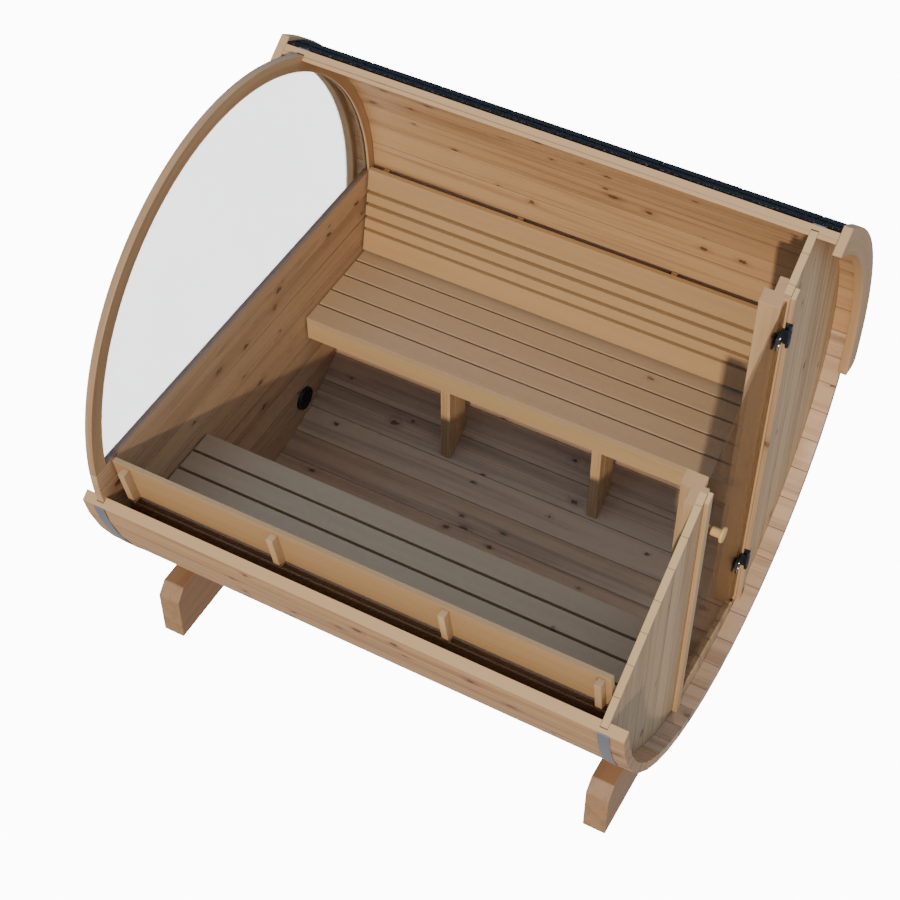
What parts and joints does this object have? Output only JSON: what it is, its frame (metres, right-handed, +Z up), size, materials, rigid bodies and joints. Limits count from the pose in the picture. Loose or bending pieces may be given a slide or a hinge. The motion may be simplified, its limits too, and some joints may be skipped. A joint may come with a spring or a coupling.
{
  "type": "barrel sauna",
  "caption": "Barrel sauna cut open along its length, with two facing benches, a half-round rear window and an outward-opening glass door.",
  "frame": {"origin": "centre of the footprint of the bounding box, on the ground", "axes": "+Z up, +X along the barrel towards the glass door, +Y towards the side with the roof"},
  "size_m": [2.272, 2.0644, 2.1338],
  "materials": {
    "shell_pine": "satin",
    "cradle_pine": "satin",
    "frame_pine": "satin",
    "bench_pine": "satin",
    "knob_wood": "satin",
    "hoop_steel": "satin",
    "shingle": "matte",
    "window_glass": "gloss",
    "door_glass": "gloss",
    "hinge_metal": "satin",
    "vent_plastic": "matte"
  },
  "bodies": {
    "cabin": {"cradle_front": "cradle_pine", "cradle_rear": "cradle_pine", "door_casing_far": "frame_pine", "door_casing_near": "frame_pine", "door_frame_far": "frame_pine", "door_frame_near": "frame_pine", "door_hinge_frame_lower": "hinge_metal", "door_hinge_frame_upper": "hinge_metal", "far_backrest": "bench_pine", "far_backrest_ribs": "bench_pine", "far_bench_front": "bench_pine", "far_bench_seat": "bench_pine", "far_bench_supports": "bench_pine", "front_wall_far": "shell_pine", "front_wall_near": "shell_pine", "front_wall_sill": "shell_pine", "hoop_front": "hoop_steel", "hoop_rear": "hoop_steel", "near_backrest": "bench_pine", "near_backrest_ribs": "bench_pine", "near_bench_front": "bench_pine", "near_bench_seat": "bench_pine", "near_bench_supports": "bench_pine", "rear_wall": "shell_pine", "roof_fascia_front": "shell_pine", "roof_fascia_rear": "shell_pine", "roof_shingles": "shingle", "shell_far_lower": "shell_pine", "shell_far_upper": "shell_pine", "shell_floor": "shell_pine", "shell_near": "shell_pine", "vent_grille": "vent_plastic", "window_glass": "window_glass", "window_rim": "shell_pine"},
    "door": {"door_glass": "door_glass", "door_knob": "knob_wood", "door_hinge_glass_upper": "hinge_metal", "door_hinge_glass_lower": "hinge_metal"}
  },
  "joints": [
    {"name": "door_hinge", "type": "hinge", "parent": "cabin", "child": "door", "pos_m": [1.05, 0.2742, 1.082], "axis": [0, 0, 1], "range_deg": [0, 100]}
  ]
}
